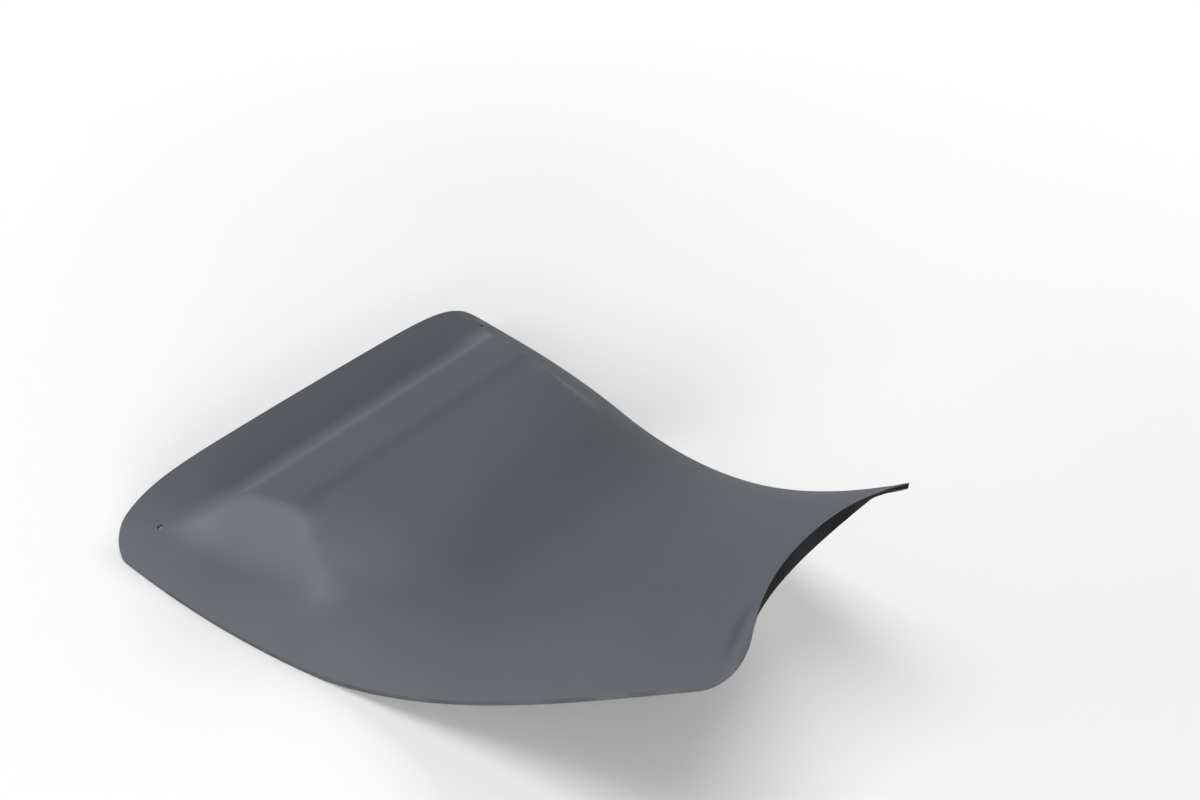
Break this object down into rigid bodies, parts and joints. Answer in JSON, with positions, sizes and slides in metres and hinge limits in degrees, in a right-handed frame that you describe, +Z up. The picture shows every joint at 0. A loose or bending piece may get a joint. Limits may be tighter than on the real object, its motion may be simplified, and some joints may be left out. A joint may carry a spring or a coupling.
{
  "type": "motorcycle step seat shell",
  "caption": "Thin moulded saddle shell for a motorcycle tail: flat rear flange with fixing holes, raised step, rolled sides and an upswept nose with a hollowed, lipped edge.",
  "frame": {"origin": "middle of the bounding box in plan, on the plane that the side rims rest on", "axes": "+Y forward to the nose, +X to the rider's right, +Z up"},
  "size_m": [0.3728, 0.466, 0.1586],
  "materials": {
    "gel_coat": "satin grey moulded gel coat outside, dark raw laminate inside"
  },
  "bodies": {
    "root": {"step_seat_shell": "gel_coat"}
  },
  "joints": []
}
